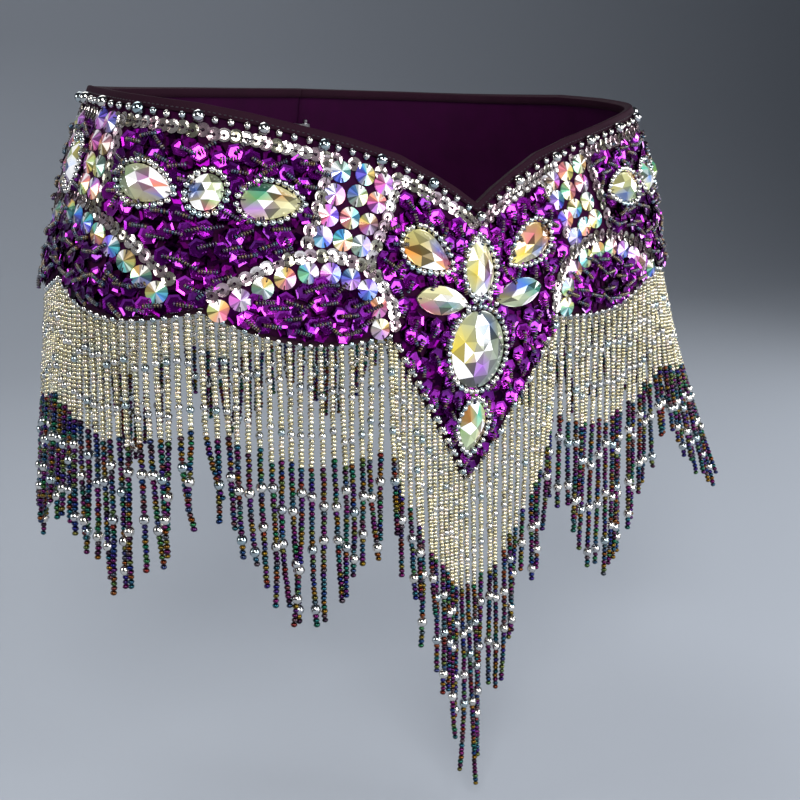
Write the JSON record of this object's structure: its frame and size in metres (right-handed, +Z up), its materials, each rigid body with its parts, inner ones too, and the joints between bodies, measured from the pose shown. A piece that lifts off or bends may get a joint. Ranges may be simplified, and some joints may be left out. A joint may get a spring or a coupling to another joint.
{
  "type": "belly dance hip belt",
  "caption": "Beaded dance hip belt worn round the hips: V-pointed front panel, scalloped wings, set stones and long bead fringe, hooked at the centre back.",
  "frame": {"origin": "middle of the hollow where the hips hold the belt, level with the top of the front point's stones", "axes": "+Z up, the front faces -Y, the wearer's left is +X"},
  "size_m": [0.4377, 0.2295, 0.3986],
  "materials": {
    "sequin_cloth": "plum cloth closely sewn with violet metallic sequins, small dark beads and round faceted stones",
    "binding_satin": "dark plum satin, folded and stitched",
    "set_stones": "faceted clear glass with a rainbow coating",
    "fringe_beads": "silver-lined clear seed beads above, dark rainbow seed beads below, with bright silver round beads",
    "steel_fastening": "plated flat hooks and bars"
  },
  "bodies": {
    "root": {"front_panel": "sequin_cloth", "wing_left": "sequin_cloth", "wing_right": "sequin_cloth", "top_binding": "binding_satin", "gem_top_petal": "set_stones", "gem_centre_oval": "set_stones", "gem_drop": "set_stones", "gem_pear_left": "set_stones", "gem_pear_right": "set_stones", "gem_side_petal_left": "set_stones", "gem_side_petal_right": "set_stones", "gem_row_drop_left": "set_stones", "gem_row_drop_right": "set_stones", "gem_row_round_left": "set_stones", "gem_row_round_right": "set_stones", "gem_row_pear_left": "set_stones", "gem_row_pear_right": "set_stones", "gem_side_oval_left": "set_stones", "gem_side_oval_right": "set_stones", "fringe_front": "fringe_beads", "fringe_left": "fringe_beads", "fringe_right": "fringe_beads", "hook_1": "steel_fastening", "hook_2": "steel_fastening", "hook_3": "steel_fastening", "bar_1": "steel_fastening", "bar_2": "steel_fastening", "bar_3": "steel_fastening"}
  },
  "joints": []
}
